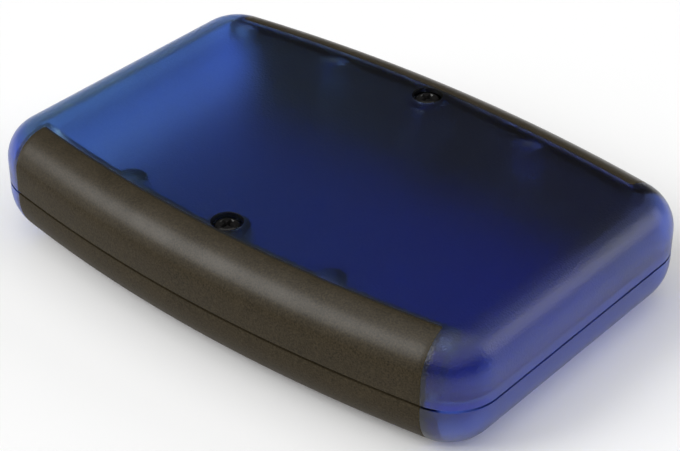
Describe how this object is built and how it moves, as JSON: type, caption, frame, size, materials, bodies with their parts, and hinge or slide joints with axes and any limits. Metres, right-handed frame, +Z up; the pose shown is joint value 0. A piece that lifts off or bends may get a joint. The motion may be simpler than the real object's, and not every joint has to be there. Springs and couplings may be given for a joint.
{
  "type": "handheld enclosure",
  "caption": "Hollow handheld case of translucent shells that meet at mid height, with bowed long sides, rounded edges, soft side grips, sunk screws and posts inside for a circuit board.",
  "frame": {"origin": "middle of the front face, on the surface the case lies on", "axes": "+Z up to the rear face with the screws, +X along the length, +Y across"},
  "size_m": [0.117, 0.079, 0.024],
  "materials": {
    "shell": "satin translucent blue",
    "grip": "matt fine texture",
    "screw": "black oxide"
  },
  "bodies": {
    "root": {"rear_shell": "shell", "front_shell": "shell", "rear_grip_left": "grip", "rear_grip_right": "grip", "front_grip_left": "grip", "front_grip_right": "grip", "screws": "screw"}
  },
  "joints": []
}
